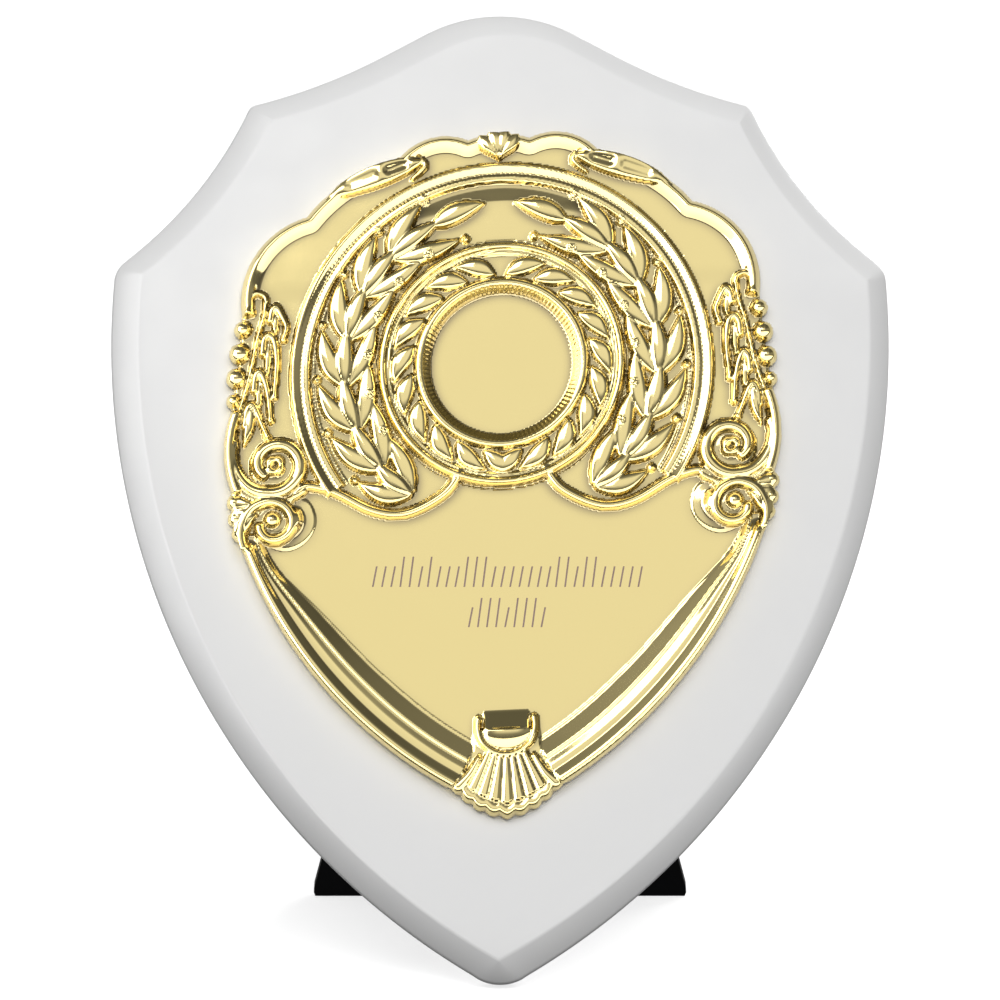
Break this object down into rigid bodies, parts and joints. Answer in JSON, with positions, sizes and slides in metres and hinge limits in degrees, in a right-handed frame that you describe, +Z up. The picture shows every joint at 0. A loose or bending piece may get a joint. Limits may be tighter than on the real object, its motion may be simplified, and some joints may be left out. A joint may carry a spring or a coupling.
{
  "type": "award shield plaque",
  "caption": "Shield-shaped award board with a bevelled edge, a gold relief front of laurel, scrolls and shell, and a fold-out strut stand behind.",
  "frame": {"origin": "middle of the bounding box on the floor that the tip and the strut's foot stand on", "axes": "+Z up, -Y out of the front, +X to the right as seen from the front; the board leans back 15 degrees"},
  "size_m": [0.1424, 0.09, 0.1734],
  "materials": {
    "white_paint": "white satin paint over fibreboard",
    "gold_plating": "bright gold metallised moulding",
    "zinc_plate": "bright zinc plate",
    "black_plastic": "fine matt grain"
  },
  "bodies": {
    "shield": {"shield_board": "white_paint", "gold_front": "gold_plating", "hinge_bracket": "zinc_plate", "hinge_pin": "zinc_plate", "bracket_screw_upper": "zinc_plate", "bracket_screw_lower": "zinc_plate"},
    "strut": {"strut_leg": "black_plastic"}
  },
  "joints": [
    {"name": "strut_fold", "type": "hinge", "parent": "shield", "child": "strut", "pos_m": [0, -0.00344, 0.10506], "axis": [1, 0, 0], "range_deg": [-39, 0]}
  ]
}
